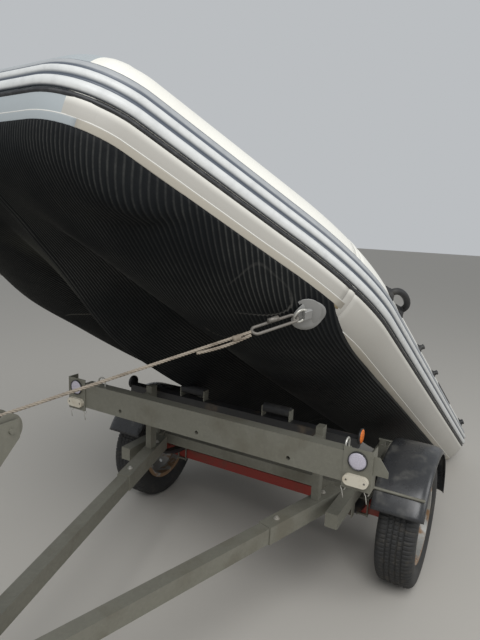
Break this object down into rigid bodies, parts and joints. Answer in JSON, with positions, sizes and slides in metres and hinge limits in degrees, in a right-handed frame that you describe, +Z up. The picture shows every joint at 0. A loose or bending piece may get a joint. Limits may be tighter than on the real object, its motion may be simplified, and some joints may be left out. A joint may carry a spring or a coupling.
{
  "type": "inflatable boat on a road trailer",
  "caption": "Inflatable boat with a ribbed keeled air floor, lying bow-up on a galvanised single-axle road trailer with a winch and a jockey wheel.",
  "frame": {"origin": "on the ground, under the middle of the whole", "axes": "+Z up; the bow, the drawbar and the coupling point along -Y; +X is the port side"},
  "size_m": [2.0188, 3.8446, 2.0345],
  "materials": {
    "tube_fabric": "satin",
    "strake_grey": "satin",
    "floor_fabric": "satin",
    "painted_board": "satin",
    "deck_board": "satin",
    "black_plastic": "matt",
    "seat_aluminium": "satin",
    "tyre_rubber": "matt",
    "wheel_silver": "satin",
    "galvanised": "satin",
    "red_paint": "satin",
    "black_paint": "satin",
    "guard_plastic": "gloss",
    "roller_rubber": "matt",
    "white_lens": "gloss",
    "red_lens": "gloss",
    "grey_plastic": "satin",
    "zinc_steel": "satin",
    "rope_fibre": "matt"
  },
  "bodies": {
    "base": {"starboard_side_tube": "tube_fabric", "starboard_bow_tube": "tube_fabric", "bow_tube": "tube_fabric", "port_bow_tube": "tube_fabric", "port_side_tube": "tube_fabric", "rubbing_strake": "strake_grey", "air_floor": "floor_fabric", "transom": "painted_board", "motor_pads": "black_plastic", "aft_seat": "seat_aluminium", "fore_seat": "seat_aluminium", "bow_fairlead": "black_plastic", "bow_roller": "grey_plastic", "carry_handles": "black_plastic", "tow_patches": "tube_fabric", "tow_rings": "zinc_steel", "tow_hook": "zinc_steel", "winch_rope": "rope_fibre", "axle": "red_paint", "side_rails": "galvanised", "cross_member": "galvanised", "drawbar_sleeves": "galvanised", "drawbar_tubes": "galvanised", "drawbar_nose": "galvanised", "front_beam": "galvanised", "crossbar": "black_paint", "uprights": "galvanised", "keel_rollers": "roller_rubber", "roller_brackets": "galvanised", "lamp_plates": "galvanised", "front_reflectors": "white_lens", "marker_lamps": "white_lens", "port_mudguard": "guard_plastic", "starboard_mudguard": "guard_plastic", "mudguard_stays": "galvanised", "leaf_springs": "black_paint", "spring_hangers": "galvanised", "axle_clamps": "zinc_steel", "coupling": "galvanised", "coupling_lever": "galvanised", "jockey_tube": "galvanised", "jockey_clamp": "galvanised", "jockey_handle": "zinc_steel", "winch_post": "galvanised", "winch_frame": "galvanised", "rear_brackets": "galvanised", "rear_lamps": "red_lens", "floor_boards": "deck_board", "tie_eyes": "zinc_steel"},
    "port_wheel": {"port_tyre": "tyre_rubber", "port_rim": "wheel_silver", "port_hub": "galvanised"},
    "starboard_wheel": {"starboard_tyre": "tyre_rubber", "starboard_rim": "wheel_silver", "starboard_hub": "galvanised"},
    "jockey_leg": {"jockey_inner_tube": "zinc_steel"},
    "jockey_caster": {"jockey_fork": "galvanised"},
    "jockey_roller": {"jockey_wheel": "roller_rubber"},
    "winch": {"winch_drum": "galvanised", "winch_crank": "galvanised"}
  },
  "joints": [
    {"name": "port_wheel_spin", "type": "hinge", "parent": "base", "child": "port_wheel", "pos_m": [0.90243, 0.20621, 0.285], "axis": [1, 0, 0], "continuous": true},
    {"name": "starboard_wheel_spin", "type": "hinge", "parent": "base", "child": "starboard_wheel", "pos_m": [-0.52757, 0.20621, 0.285], "axis": [1, 0, 0], "continuous": true},
    {"name": "jockey_lift", "type": "slide", "parent": "base", "child": "jockey_leg", "axis": [0, 0, 1], "range_m": [0, 0.1]},
    {"name": "jockey_swivel", "type": "hinge", "parent": "jockey_leg", "child": "jockey_caster", "pos_m": [0.07544, -1.64379, 0.212], "axis": [0, 0, 1], "continuous": true},
    {"name": "jockey_wheel_spin", "type": "hinge", "parent": "jockey_caster", "child": "jockey_roller", "pos_m": [0.07544, -1.61379, 0.1], "axis": [1, 0, 0], "continuous": true},
    {"name": "winch_turn", "type": "hinge", "parent": "base", "child": "winch", "pos_m": [0.18743, -1.31879, 1.055], "axis": [1, 0, 0], "continuous": true}
  ]
}
